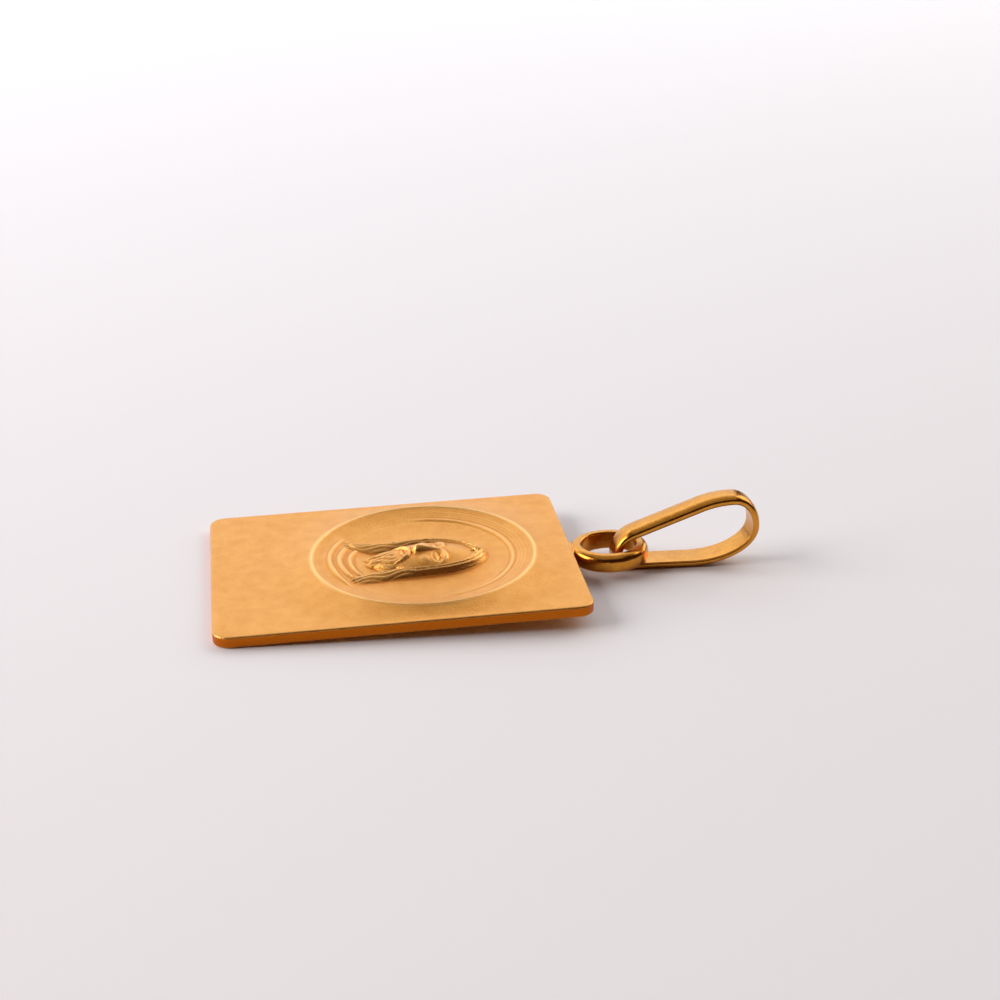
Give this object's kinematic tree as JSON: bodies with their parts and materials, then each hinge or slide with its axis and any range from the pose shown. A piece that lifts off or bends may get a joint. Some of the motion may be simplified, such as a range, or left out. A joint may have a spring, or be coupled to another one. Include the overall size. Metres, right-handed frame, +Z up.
{
  "type": "religious medal pendant",
  "caption": "Rectangular plaque medal with a relief head in a sunk round field, an eyelet soldered to its end, and a loose teardrop bail, lying face up.",
  "frame": {"origin": "middle of the box's underside, on the surface that the pendant lies on", "axes": "+X along the plaque's longer sides towards the eyelet and the bail, +Z up"},
  "size_m": [0.037, 0.018, 0.0051],
  "materials": {
    "matte_gold": "fine matte, gilded",
    "polished_gold": "polished, gilded"
  },
  "bodies": {
    "root": {"medal": "matte_gold", "bail": "polished_gold"}
  },
  "joints": []
}
